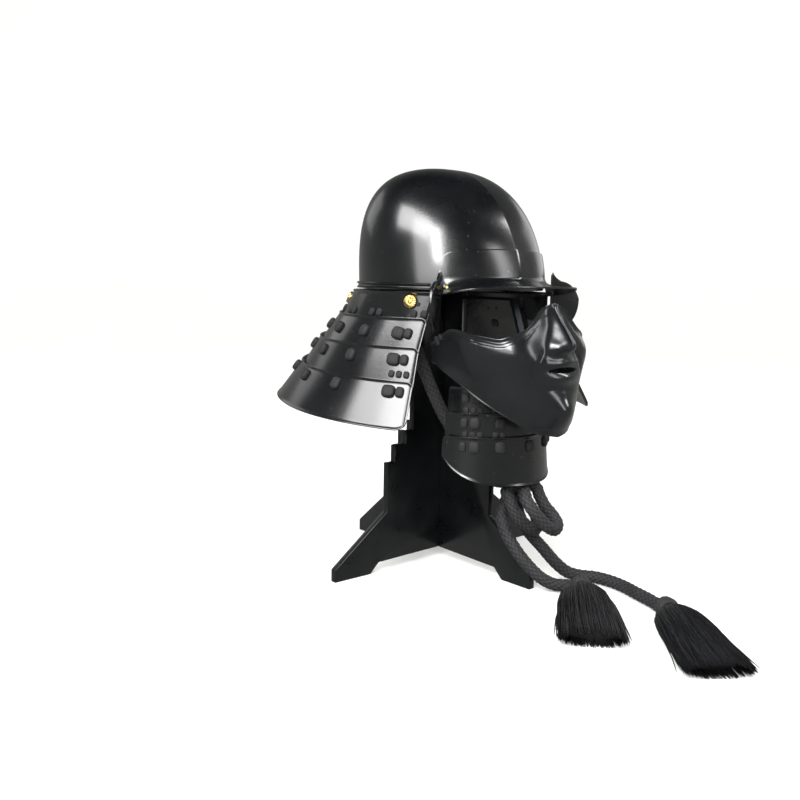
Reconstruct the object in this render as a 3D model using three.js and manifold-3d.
// Samurai helmet with face mask on a display stand. Millimetres, +Z up, the helmet faces -Y and
// the wearer's right is -X. The origin lies on the table, under the middle of the whole object.
import * as THREE from 'three';
import { mergeVertices } from 'three/addons/utils/BufferGeometryUtils.js';
import Module from 'manifold-3d';

const wasm = await Module();
wasm.setup();

// ---------- driving dimensions ----------
const GAP = 0.4; // air between touching pieces

const BOWL = {
  rimZ: 318, topZ: 452, wall: 2.4, halfWidth: 107,
  rimY: -11, topY: 9, front: 101, rear: 102, // centre of the rim and of the crown, and reach from it
  sideRound: 2.7, frontRound: 2.2, // exponents of the profile: 2 is an ellipse, more is boxier
  keel: 0.03, keelSpread: 22, // the ridge's rise, as a share of the radius, over so many degrees
};
const BAND = { height: 7, wall: 2.4 }; // raised band round the bowl's foot
const VISOR = {
  halfAngle: 47, wall: 2, browZ: 362, browCornerDrop: 8, cornerAngle: 7, bendZ: 333,
  reach: 42, endReach: 7, lipZ: 322, endDip: 10,
};
const NECK = { halfAngle: 52, wall: 2, clearance: 1.5, tuck: 8, corner: 7 };
// Top edge of each lame of the neck guard, then the hem of the last one: an arc round centreY,
// whose front ends lie lower than its back by twice the tilt.
const NECK_EDGES = [
  { radius: 110, z: 316, centreY: -11, tilt: 0 }, { radius: 120, z: 290, centreY: -2, tilt: 1 },
  { radius: 138, z: 262, centreY: 5, tilt: 3 }, { radius: 157, z: 231, centreY: 8, tilt: 7 },
  { radius: 184, z: 188, centreY: 11.6, tilt: 12 },
];
const TURN_BACK = { angle: 49.5, turn: 10, thickness: 3, inner: 113.5, reach: 34, lowZ: 273, highZ: 339 };
const ROSETTE = { radius: 7.5, height: 3.2, seat: 1.9, angles: [-136, -64, 64, 136], z: 306 };

const MASK = {
  wall: 2.4, centreY: -104, cheekEndY: -66, cheekAngle: 112,
  mouthZ: 240, mouthHalfWidth: 21, mouthHeight: 6,
};
const THROAT = { centreY: -80, wall: 1.8, halfAngle: 93, keel: 4, clearance: 1.2, tuck: 7 };
// Top edge of each lame of the throat guard, then the hem of the last one.
const THROAT_EDGES = [
  { side: 62, front: 44, z: 218 }, { side: 66, front: 49, z: 191 },
  { side: 69, front: 53, z: 166 }, { side: 73, front: 57, z: 114 },
];
const THROAT_HEM_RISE = 30; // the hem sweeps up towards its two back corners

const BOARD = { thickness: 8, length: 312, depth: 296, slotZ: 210 };
const HANGER = { width: 8, thickness: 3, z: 311, turnY: -108, lowY: -140, lowZ: 226 };

const CORD = 14; // diameter of the braided silk cord
const TASSEL = { length: 130, neck: 10, halfWidth: 31, halfHeight: 9 };

// ---------- finishes ----------
const lacquer = { color: 0x101214, roughness: 0.15, metalness: 0.1 };
const maskLacquer = { color: 0x1b1e21, roughness: 0.25, metalness: 0.35 };
const gilt = { color: 0xc9a65a, roughness: 0.3, metalness: 0.9 };
const silk = { color: 0x1b1b1d, roughness: 0.85, metalness: 0 };
const standLacquer = { color: 0x0c0d0e, roughness: 0.3, metalness: 0 };
const steel = { color: 0x2a2c2e, roughness: 0.4, metalness: 0.8 };

const model = new THREE.Group();

function add(name, geometry, finish) {
  const mesh = new THREE.Mesh(geometry, new THREE.MeshStandardMaterial(finish));
  mesh.name = name;
  model.add(mesh);
  return mesh;
}

// ---------- helpers ----------
const radians = THREE.MathUtils.degToRad;
const bell = (distance, spread) => Math.exp(-((distance / spread) ** 2));

// The value at a position between a few [position, value] pairs, level beyond both ends.
function throughPoints(pairs, position) {
  if (position <= pairs[0][0]) return pairs[0][1];
  for (let i = 1; i < pairs.length; i++) {
    const [start, from] = pairs[i - 1];
    const [end, to] = pairs[i];
    if (position <= end) {
      const share = (position - start) / (end - start);
      return THREE.MathUtils.lerp(from, to, share);
    }
  }
  return pairs[pairs.length - 1][1];
}

// One closed body from its points and triangles, with doubled points joined and faces outward.
function closedBody(points, triangles) {
  const flat = new THREE.BufferGeometry();
  flat.setAttribute('position', new THREE.Float32BufferAttribute(points.flatMap((p) => p.toArray()), 3));
  flat.setIndex(triangles);
  const merged = mergeVertices(flat, 1e-3);
  const index = merged.index.array;
  const position = merged.getAttribute('position');
  const kept = [];
  let volume = 0;
  const [a, b, c] = [new THREE.Vector3(), new THREE.Vector3(), new THREE.Vector3()];
  for (let i = 0; i < index.length; i += 3) {
    const [p, q, r] = [index[i], index[i + 1], index[i + 2]];
    if (p === q || q === r || r === p) continue;
    kept.push([p, q, r]);
    volume += a.fromBufferAttribute(position, p)
      .dot(b.fromBufferAttribute(position, q).cross(c.fromBufferAttribute(position, r)));
  }
  merged.setIndex(kept.flatMap(([p, q, r]) => (volume > 0 ? [p, q, r] : [p, r, q])));
  merged.computeVertexNormals();
  return merged;
}

// A wall between two surfaces. outside(u, v) and inside(u, v) give its points, u goes across it
// in the given steps and v along it; a ring's last column joins its first one.
function wall(outside, inside, columns, rows, isRing = false) {
  const points = [];
  const triangles = [];
  const loop = 2 * (rows + 1);
  const count = isRing ? columns : columns + 1;
  for (let i = 0; i < count; i++) {
    for (let j = 0; j <= rows; j++) points.push(outside(i / columns, j / rows));
    for (let j = rows; j >= 0; j--) points.push(inside(i / columns, j / rows));
  }
  for (let i = 0; i < columns; i++) {
    const here = i * loop;
    const next = ((i + 1) % count) * loop;
    for (let k = 0; k < loop; k++) {
      const after = (k + 1) % loop;
      triangles.push(here + k, here + after, next + after, here + k, next + after, next + k);
    }
  }
  if (!isRing) {
    const last = columns * loop;
    for (let j = 0; j < rows; j++) {
      const back = loop - 1 - j;
      triangles.push(j + 1, j, back, j + 1, back, back - 1);
      triangles.push(last + j, last + j + 1, last + back, last + j + 1, last + back - 1, last + back);
    }
  }
  return closedBody(points, triangles);
}

// A solid lofted through rings of equally many points, closed at both ends.
function loft(rings) {
  const points = rings.flat();
  const size = rings[0].length;
  const triangles = [];
  for (let i = 0; i + 1 < rings.length; i++) {
    for (let k = 0; k < size; k++) {
      const after = (k + 1) % size;
      const [here, next] = [i * size, (i + 1) * size];
      triangles.push(here + k, here + after, next + after, here + k, next + after, next + k);
    }
  }
  const last = (rings.length - 1) * size;
  for (let k = 1; k + 1 < size; k++) {
    triangles.push(0, k + 1, k, last, last + k, last + k + 1);
  }
  return closedBody(points, triangles);
}

function extrudeOutline(corners, thickness) {
  const outline = new THREE.Shape(corners.map(([x, y]) => new THREE.Vector2(x, y)));
  const geometry = new THREE.ExtrudeGeometry(outline, { depth: thickness, bevelEnabled: false });
  return geometry.translate(0, 0, -thickness / 2);
}

function toManifold(geometry) {
  const bare = geometry.clone();
  bare.deleteAttribute('normal');
  bare.deleteAttribute('uv');
  const merged = mergeVertices(bare, 1e-4);
  return new wasm.Manifold(new wasm.Mesh({
    numProp: 3,
    vertProperties: Float32Array.from(merged.getAttribute('position').array),
    triVerts: Uint32Array.from(merged.index.array),
  }));
}

function fromManifold(solid) {
  const mesh = solid.getMesh();
  const geometry = new THREE.BufferGeometry();
  geometry.setAttribute('position', new THREE.BufferAttribute(new Float32Array(mesh.vertProperties), 3));
  geometry.setIndex(Array.from(mesh.triVerts));
  geometry.computeVertexNormals();
  return geometry;
}

// ---------- bowl ----------
// A point of the bowl's outer face: angle from the front, height above the table, and how far it
// is moved outward. The profile is boxier at the sides and back than on the raked forehead.
function bowlPoint(degrees, z, offset = 0) {
  const angle = radians(degrees);
  const height = BOWL.topZ + offset - BOWL.rimZ;
  const rise = THREE.MathUtils.clamp((z - BOWL.rimZ) / height, 0, 1);
  const frontness = Math.max(0, Math.cos(angle)) ** 2;
  const round = THREE.MathUtils.lerp(BOWL.sideRound, BOWL.frontRound, frontness);
  const width = (1 - rise ** round) ** (1 / round);
  const offCentre = Math.abs(((degrees + 270) % 180) - 90); // degrees from the ridge's plane
  const ridge = 1 + BOWL.keel * Math.max(0, 1 - offCentre / BOWL.keelSpread) ** 2;
  const centreY = THREE.MathUtils.lerp(BOWL.rimY, BOWL.topY, rise ** 1.5);
  const reach = (Math.cos(angle) > 0 ? BOWL.front : BOWL.rear) + offset;
  return new THREE.Vector3(
    (BOWL.halfWidth + offset) * Math.sin(angle) * width,
    centreY - reach * Math.cos(angle) * width * ridge,
    z,
  );
}

function buildBowl() {
  const face = (offset) => (u, v) => {
    const top = BOWL.topZ + offset;
    const z = BOWL.rimZ + (top - BOWL.rimZ) * Math.sin((v * Math.PI) / 2);
    return bowlPoint(u * 360, z, offset);
  };
  add('bowl', wall(face(0), face(-BOWL.wall), 56, 11, true), lacquer);
}

function buildRimBand() {
  const angle = (u) => NECK.halfAngle + 2 + u * (360 - 2 * NECK.halfAngle - 4);
  const face = (offset) => (u, v) => bowlPoint(angle(u), BOWL.rimZ + v * BAND.height, offset);
  add('rim_band', wall(face(GAP + BAND.wall), face(GAP), 40, 1), lacquer);
}

// ---------- brow plate and visor ----------
// Its section hugs the bowl from the brow edge down and then turns outward into the visor.
function visorPoint(degrees, v, offset) {
  const share = Math.abs(degrees) / VISOR.halfAngle;
  const fromEnd = Math.max(0, VISOR.cornerAngle - (VISOR.halfAngle - Math.abs(degrees)));
  const corner = VISOR.browCornerDrop * (1 - Math.sqrt(1 - (fromEnd / VISOR.cornerAngle) ** 2));
  const browZ = VISOR.browZ - 5 * share ** 2 - corner;
  const reach = VISOR.endReach + (VISOR.reach - VISOR.endReach) * Math.sqrt(1 - Math.min(1, share) ** 5);
  const lipZ = VISOR.lipZ - VISOR.endDip * share ** 4;
  const turn = 0.45; // share of v that lies flat on the bowl
  if (v <= turn) {
    const z = THREE.MathUtils.lerp(browZ, VISOR.bendZ, v / turn);
    return bowlPoint(degrees, z, GAP + offset);
  }
  const along = (v - turn) / (1 - turn);
  const foot = bowlPoint(degrees, VISOR.bendZ, GAP);
  const angle = radians(degrees);
  const outward = new THREE.Vector3(Math.sin(angle), -Math.cos(angle), 0);
  const out = reach * along ** 1.6 + offset * (1 - along);
  const drop = (VISOR.bendZ - lipZ) * (1 - (1 - along) ** 2.2) - offset * along;
  return foot.addScaledVector(outward, out).setZ(VISOR.bendZ - drop);
}

function buildVisor() {
  const angle = (u) => VISOR.halfAngle * Math.sin((u - 0.5) * Math.PI);
  const face = (offset) => (u, v) => visorPoint(angle(u), v, offset);
  add('visor', wall(face(VISOR.wall), face(0), 28, 10), lacquer);
}

// ---------- neck guard ----------
// Columns of a lame in degrees from the front, closer together at its two rounded front corners.
const neckAngles = (() => {
  const near = [0, 0.6, 1.6, 3.2, 7];
  const sweep = 360 - 2 * NECK.halfAngle;
  const middle = Array.from({ length: 33 }, (_, i) => 7 + ((sweep - 14) * (i + 1)) / 34);
  return [...near, ...middle, ...near.map((a) => sweep - a).reverse()].map((a) => NECK.halfAngle + a);
})();

// A point of a neck lame's outer face: its top edge, the edge below it, the angle from the
// front and the share of the way down from one edge to the other.
function neckPoint(top, next, degrees, share, offset, inset) {
  const angle = radians(degrees);
  const radius = THREE.MathUtils.lerp(top.radius, next.radius - inset, share) + offset;
  const centreY = THREE.MathUtils.lerp(top.centreY, next.centreY, share);
  const tilt = THREE.MathUtils.lerp(top.tilt, next.tilt, share);
  const z = THREE.MathUtils.lerp(top.z, next.z, share) - tilt * Math.cos(angle);
  return new THREE.Vector3(radius * Math.sin(angle), centreY - radius * Math.cos(angle), z);
}

function buildNeckGuard() {
  for (let i = 0; i + 1 < NECK_EDGES.length; i++) {
    const top = NECK_EDGES[i];
    const next = NECK_EDGES[i + 1];
    const isLast = i + 2 === NECK_EDGES.length;
    const inset = isLast ? 0 : NECK.wall + NECK.clearance;
    const drop = top.z - next.z;
    const hem = isLast ? 1 : 1 + NECK.tuck / drop;
    const face = (offset) => (u, v) => {
      const degrees = neckAngles[Math.round(u * (neckAngles.length - 1))];
      const fromEnd = radians(Math.min(degrees - NECK.halfAngle, 360 - NECK.halfAngle - degrees)) * top.radius;
      const cut = Math.max(0, NECK.corner - fromEnd);
      const corner = (NECK.corner - Math.sqrt(NECK.corner ** 2 - cut ** 2)) / drop;
      const share = THREE.MathUtils.lerp(i > 0 ? corner : 0, hem - (isLast ? corner : 0), v);
      return neckPoint(top, next, degrees, share, offset, inset);
    };
    add(`neck_lame_${i + 1}`, wall(face(0), face(-NECK.wall), neckAngles.length - 1, 3), lacquer);
  }
}

// A leaf-shaped plate that stands out from the front end of the top lame, one on each side.
function buildTurnBacks() {
  const { inner, reach, lowZ, highZ } = TURN_BACK;
  const outline = new THREE.Shape();
  outline.moveTo(inner, lowZ + 12);
  outline.quadraticCurveTo(inner + 6, lowZ, inner + 16, lowZ + 2);
  outline.quadraticCurveTo(inner + reach, lowZ + 12, inner + reach, lowZ + 36);
  outline.quadraticCurveTo(inner + reach - 6, lowZ + 54, inner + 12, lowZ + 56);
  outline.quadraticCurveTo(inner + 4, highZ - 6, inner + 2, highZ);
  outline.lineTo(inner, highZ - 4);
  for (const side of [-1, 1]) {
    const leaf = new THREE.ExtrudeGeometry(outline, {
      depth: TURN_BACK.thickness, bevelEnabled: false, curveSegments: 5,
    });
    leaf.translate(-inner, 0, -TURN_BACK.thickness / 2).rotateX(Math.PI / 2);
    leaf.rotateZ(radians(side * TURN_BACK.turn)).translate(inner, 0, 0);
    leaf.rotateZ(radians(side * TURN_BACK.angle - 90)).translate(0, NECK_EDGES[0].centreY, 0);
    add(side < 0 ? 'turn_back_right' : 'turn_back_left', leaf, lacquer);
  }
}

function buildRosettes() {
  const { radius, height } = ROSETTE;
  const profile = [[0, 0], [radius, 0], [radius, height * 0.4], [radius * 0.45, height * 0.8],
    [radius * 0.4, height], [0, height]].map(([x, y]) => new THREE.Vector2(x, y));
  const [top, next] = NECK_EDGES;
  const inset = NECK.wall + NECK.clearance;
  const slope = (next.radius - inset - top.radius) / (top.z - next.z);
  const share = (top.z - ROSETTE.z) / (top.z - next.z);
  ROSETTE.angles.forEach((degrees, i) => {
    const rivet = new THREE.LatheGeometry(profile, 16);
    rivet.rotateX(Math.PI - Math.atan(slope)).rotateZ(radians(degrees));
    const seat = neckPoint(top, next, degrees, share, ROSETTE.seat, inset);
    rivet.translate(seat.x, seat.y, seat.z);
    add(`rosette_${i + 1}`, rivet, gilt);
  });
}

// ---------- face mask ----------
// Half mask of a calm, plain face: cheeks, nose, mouth and chin, open behind.
const maskWidth = (z) => throughPoints([[168, 46], [185, 58], [205, 68], [235, 76], [270, 80]], z);
const maskDepth = (z) => throughPoints([[168, 68], [182, 76], [240, 77], [262, 71], [285, 64], [308, 55]], z);
const maskTop = (a) => throughPoints([[0, 308], [12, 303], [28, 282], [50, 271], [75, 276], [95, 281], [112, 262]], a);
const maskBottom = (a) => throughPoints([[0, 170], [35, 176], [60, 196], [90, 222], [112, 243]], a);
const noseRise = (z) => throughPoints([[244, 0], [255, 6], [262, 18], [268, 20], [290, 8], [308, 3]], z);
const noseSpread = (z) => throughPoints([[256, 11], [266, 12], [285, 7], [308, 7]], z);

function maskPoint(degrees, v, inset) {
  const away = Math.abs(degrees);
  const z = THREE.MathUtils.lerp(maskTop(away), maskBottom(away), v);
  const angle = radians(Math.min(away, 90)) * Math.sign(degrees);
  const width = maskWidth(z);
  const x = width * Math.sin(angle);
  const chin = 8 * bell(x, 18) * bell(z - 198, 13);
  const lips = 4 * bell(x, 26) * (bell(z - 248, 5) + bell(z - 231, 5));
  const cheeks = 6 * bell(Math.abs(x) - 48, 18) * bell(z - 258, 16);
  const rise = noseRise(z) * bell(x, noseSpread(z)) + chin + lips + cheeks - inset;
  const straight = Math.max(0, away - 90) / (MASK.cheekAngle - 90);
  return new THREE.Vector3(
    x + rise * Math.sin(angle),
    MASK.centreY - (maskDepth(z) + rise) * Math.cos(angle) + straight * (MASK.cheekEndY - MASK.centreY),
    z,
  );
}

function buildMask() {
  const columns = [-112, -101, -90, -80, -70, -60, -50, -41, -33, -26, -20, -15, -11, -7, -3.5, 0];
  const angles = [...columns, ...columns.slice(0, -1).map((a) => -a).reverse()];
  const face = (inset) => (u, v) => maskPoint(angles[Math.round(u * (angles.length - 1))], v, inset);
  const shell = wall(face(0), face(MASK.wall), angles.length - 1, 18);
  const mouth = new THREE.BoxGeometry(2 * MASK.mouthHalfWidth, 60, MASK.mouthHeight);
  mouth.translate(0, MASK.centreY - 85, MASK.mouthZ);
  add('face_mask', fromManifold(toManifold(shell).subtract(toManifold(mouth))), maskLacquer);
}

// ---------- throat guard ----------
function buildThroatGuard() {
  const columns = 20;
  for (let i = 0; i + 1 < THROAT_EDGES.length; i++) {
    const top = THROAT_EDGES[i];
    const next = THROAT_EDGES[i + 1];
    const isLast = i + 2 === THROAT_EDGES.length;
    const inset = isLast ? 0 : THROAT.wall + THROAT.clearance;
    const drop = top.z - next.z;
    const hemZ = next.z - (isLast ? 0 : THROAT.tuck);
    const face = (offset) => (u, v) => {
      const degrees = THROAT.halfAngle * (2 * u - 1);
      const angle = radians(degrees);
      const hem = hemZ + (isLast ? THROAT_HEM_RISE * Math.abs(2 * u - 1) ** 3 : 0);
      const z = THREE.MathUtils.lerp(top.z, hem, v);
      const share = (top.z - z) / drop;
      const side = THREE.MathUtils.lerp(top.side, next.side - inset, share) + offset;
      const keel = THROAT.keel * Math.max(0, 1 - Math.abs(degrees) / 40);
      const front = THREE.MathUtils.lerp(top.front, next.front - inset, share) + keel + offset;
      return new THREE.Vector3(side * Math.sin(angle), THROAT.centreY - front * Math.cos(angle), z);
    };
    add(`throat_lame_${i + 1}`, wall(face(0), face(-THROAT.wall), columns, 4), lacquer);
  }
}

// ---------- stand ----------
// Half outline of a stand board from its foot to its top, [reach from the middle, height]. Both
// boards share it apart from the reach of their feet, and are halved into each other.
function boardOutline(length) {
  const reach = length / 2;
  return [[0, 13.5], [95, 11.5], [107, 0], [reach, 0], [reach, 14], [84, 68], [84, 124], [74, 124],
    [74, 143], [58, 143], [58, 158], [47, 158], [47, 230], [34, 230], [34, 404], [16, 428]];
}

function boardCorners(length, slotFromTop) {
  const half = boardOutline(length);
  const slot = BOARD.thickness / 2 + GAP;
  const right = half.slice(1);
  const left = right.map(([x, z]) => [-x, z]).reverse();
  const topZ = half[half.length - 1][1];
  const lowZ = half[0][1];
  if (slotFromTop) {
    const cut = [[slot, topZ], [slot, BOARD.slotZ - GAP], [-slot, BOARD.slotZ - GAP], [-slot, topZ]];
    return [[0, lowZ], ...right, ...cut, ...left];
  }
  const cut = [[-slot, lowZ], [-slot, BOARD.slotZ + GAP], [slot, BOARD.slotZ + GAP], [slot, lowZ]];
  return [...cut, ...right, ...left];
}

function buildStand() {
  const cross = extrudeOutline(boardCorners(BOARD.length, true), BOARD.thickness);
  add('stand_cross_board', cross.rotateX(Math.PI / 2), standLacquer);
  const long = extrudeOutline(boardCorners(BOARD.depth, false), BOARD.thickness);
  add('stand_long_board', long.rotateX(Math.PI / 2).rotateZ(Math.PI / 2), standLacquer);
}

// A bent steel strip from the stand to the back of the mask, which hangs on it.
function buildHanger() {
  const { thickness, z, turnY, lowY, lowZ } = HANGER;
  const startY = -34 - GAP;
  const endY = MASK.centreY - maskDepth(lowZ) + MASK.wall + 1.2;
  const side = [[startY, z], [turnY, z], [lowY, lowZ], [endY, lowZ], [endY, lowZ - thickness],
    [lowY + thickness, lowZ - thickness], [turnY + thickness, z - thickness], [startY, z - thickness]];
  const strip = extrudeOutline(side, HANGER.width);
  add('mask_hanger', strip.rotateX(Math.PI / 2).rotateZ(Math.PI / 2), steel);
}

// ---------- cord and tassels ----------
function tube(points, diameter, steps) {
  const route = new THREE.CatmullRomCurve3(points.map((p) => new THREE.Vector3(...p)), false, 'centripetal');
  const section = new THREE.Shape().absarc(0, 0, diameter / 2, 0, 2 * Math.PI, false);
  return new THREE.ExtrudeGeometry(section, { steps, curveSegments: 8, extrudePath: route, bevelEnabled: false });
}

const KNOT = { centre: [6, -120.5, 116], halfSize: [21, 14, 13.5] };

// Half of the chin loop, from its anchor under the bowl's right rim to the middle behind the knot.
const chinRight = [[-95, -26, 306], [-92, -36, 286], [-86, -46, 262], [-76, -50, 236], [-64, -54, 208],
  [-52, -61, 180], [-38, -74, 152], [-22, -89, 126], [-9, -96, 112]];
const chinLoop = [...chinRight, [0, -97.4, 109], ...chinRight.map(([x, y, z]) => [-x, y, z]).reverse()];

const bowLoops = [
  [[20.8, -130.9, 106.2], [22.6, -134.6, 97.5], [25.2, -141, 86.3], [29.5, -148, 77.5], [29, -155.5, 69.5],
    [20, -160.5, 65.5], [8.5, -161, 69.8], [-1.5, -158, 79.8], [-8.4, -151.6, 90.4], [-8.6, -143.8, 98.8], [-4.7, -137.2, 104.8]],
  [[-17.3, -122.5, 104.6], [-16, -126, 97.6], [-13.6, -130, 87], [-8.8, -134, 77.6], [-1.6, -136.6, 70],
    [4.5, -138.8, 65.8], [12.5, -138.4, 61.8], [20.4, -135, 64.6], [22.6, -130.6, 73.5], [16.5, -126.5, 86],
    [8.6, -121.8, 95.3]],
];

const tails = [
  {
    route: [[0.6, -111.6, 102.2], [-4, -111, 93], [-11, -111, 80], [-14, -118, 64], [-12.4, -131, 46],
      [-6, -146, 28], [2.5, -158.5, 15], [12, -168, 8.6], [23, -177.5, 7.5], [32, -187, 7.5]],
    heading: [-0.72, -0.69],
  },
  {
    route: [[19.4, -110.6, 105], [20.4, -108.6, 96], [16, -110, 78], [20, -120.5, 57], [28, -138, 38], [38, -149, 22],
      [49, -156, 11.8], [60, -164, 7.5], [69, -178, 7.5], [72, -197, 7.5], [69, -218, 7.5], [62, -239, 7.5],
      [55, -261, 7.5], [46, -280, 7.5]],
    heading: [-0.6, -0.8],
  },
];

function collarAndTassel(number, end, heading) {
  const direction = new THREE.Vector3(heading[0], heading[1], 0).normalize();
  const across = new THREE.Vector3(-direction.y, direction.x, 0);
  const ring = (start, along, halfWidth, halfHeight) => Array.from({ length: 14 }, (_, k) => {
    const angle = (k / 14) * 2 * Math.PI;
    return new THREE.Vector3(start[0], start[1], 0)
      .addScaledVector(direction, along)
      .addScaledVector(across, halfWidth * Math.cos(angle))
      .setZ(0.3 + halfHeight + halfHeight * Math.sin(angle));
  });
  const collar = [[7.2, 9, 8.5], [9, 12, 11.5], [18, 12, 11.5], [20, 9.5, 9]];
  add(`tassel_collar_${number}`, loft(collar.map(([s, w, h]) => ring(end, s, w, h))), silk);
  const { length, neck, halfWidth, halfHeight } = TASSEL;
  const hair = [[0, neck, 8.5], [0.07, neck + 7, 11.5], [0.18, 23, 12.5], [0.35, 27, 12],
    [0.65, halfWidth - 1, halfHeight], [1, halfWidth, halfHeight - 2.5]];
  const rings = hair.map(([share, w, h]) => ring(end, 20.4 + share * length, w, h));
  add(`tassel_${number}`, loft(rings), silk);
}

function buildCords() {
  add('chin_cord', tube(chinLoop, CORD, 28), silk);
  const knot = new THREE.SphereGeometry(1, 14, 9);
  knot.scale(...KNOT.halfSize).translate(...KNOT.centre);
  add('cord_knot', knot, silk);
  bowLoops.forEach((route, i) => add(`cord_loop_${i + 1}`, tube(route, CORD, 14), silk));
  tails.forEach(({ route, heading }, i) => {
    add(`cord_tail_${i + 1}`, tube(route, CORD, i === 0 ? 9 : 14), silk);
    collarAndTassel(i + 1, route[route.length - 1], heading);
  });
}

buildBowl();
buildRimBand();
buildVisor();
buildNeckGuard();
buildTurnBacks();
buildRosettes();
buildMask();
buildThroatGuard();
buildStand();
buildHanger();
buildCords();

export default model;
